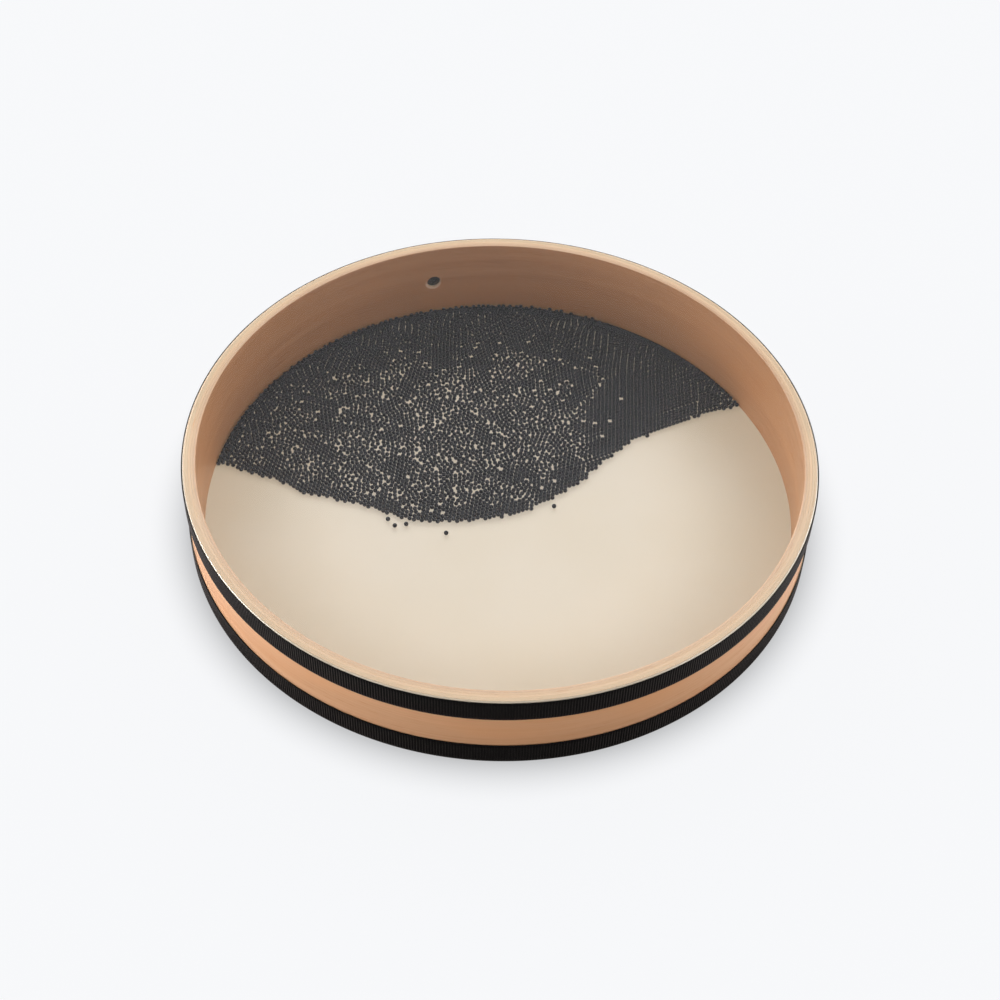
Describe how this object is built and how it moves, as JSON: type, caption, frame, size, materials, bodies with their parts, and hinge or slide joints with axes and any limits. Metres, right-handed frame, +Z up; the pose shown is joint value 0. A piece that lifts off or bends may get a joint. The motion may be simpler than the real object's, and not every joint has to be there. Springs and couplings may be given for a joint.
{
  "type": "ocean drum",
  "caption": "Shallow round wooden-hoop ocean drum with a clear upper head, a cream lower head, black edge ribbons, a rubber filling plug and loose steel beads that roll inside.",
  "frame": {"origin": "centre of the drum's underside, the face it rests on", "axes": "+Z up through the clear head, -Y towards the front of the picture's view, +X to the right"},
  "size_m": [0.406, 0.406, 0.06],
  "materials": {
    "inner_veneer": "clear satin lacquer on reddish beech-like veneer",
    "core_veneer_pale": "sanded end grain",
    "core_veneer_tan": "sanded end grain",
    "outer_veneer": "clear satin lacquer on reddish beech-like veneer",
    "clear_film": "clear glossy polyester film",
    "cream_film": "smooth translucent cream polyester film",
    "ribbon": "black ribbed grosgrain ribbon",
    "plug_rubber": "matte black rubber",
    "bead_steel": "dark oiled steel balls, satin"
  },
  "bodies": {
    "drum": {"ply_inner_face": "inner_veneer", "ply_core_inner": "core_veneer_pale", "ply_core_middle": "core_veneer_tan", "ply_core_outer": "core_veneer_pale", "ply_outer_face": "outer_veneer", "upper_head": "clear_film", "lower_head": "cream_film", "upper_ribbon": "ribbon", "lower_ribbon": "ribbon"},
    "plug": {"fill_plug": "plug_rubber"},
    "beads": {"bead_bed": "bead_steel", "bead_fringe_left": "bead_steel", "bead_fringe_middle": "bead_steel", "bead_fringe_right": "bead_steel"},
    "stray_1": {"stray_bead_1": "bead_steel"},
    "stray_2": {"stray_bead_2": "bead_steel"},
    "stray_3": {"stray_bead_3": "bead_steel"},
    "stray_4": {"stray_bead_4": "bead_steel"},
    "stray_5": {"stray_bead_5": "bead_steel"}
  },
  "joints": [
    {"name": "plug_pull", "type": "slide", "parent": "drum", "child": "plug", "axis": [-0.2689, 0.9632, 0], "range_m": [0, 0.02]},
    {"name": "bead_swirl", "type": "hinge", "parent": "drum", "child": "beads", "pos_m": [0, 0, 0.00205], "axis": [0, 0, 1], "continuous": true},
    {"name": "stray_roll_1", "type": "slide", "parent": "beads", "child": "stray_1", "axis": [0, -1, 0], "range_m": [0, 0.16]},
    {"name": "stray_roll_2", "type": "slide", "parent": "beads", "child": "stray_2", "axis": [0, -1, 0], "range_m": [0, 0.159]},
    {"name": "stray_roll_3", "type": "slide", "parent": "beads", "child": "stray_3", "axis": [0, -1, 0], "range_m": [0, 0.156]},
    {"name": "stray_roll_4", "type": "slide", "parent": "beads", "child": "stray_4", "axis": [0, -1, 0], "range_m": [0, 0.16]},
    {"name": "stray_roll_5", "type": "slide", "parent": "beads", "child": "stray_5", "axis": [0, -1, 0], "range_m": [0, 0.186]}
  ]
}
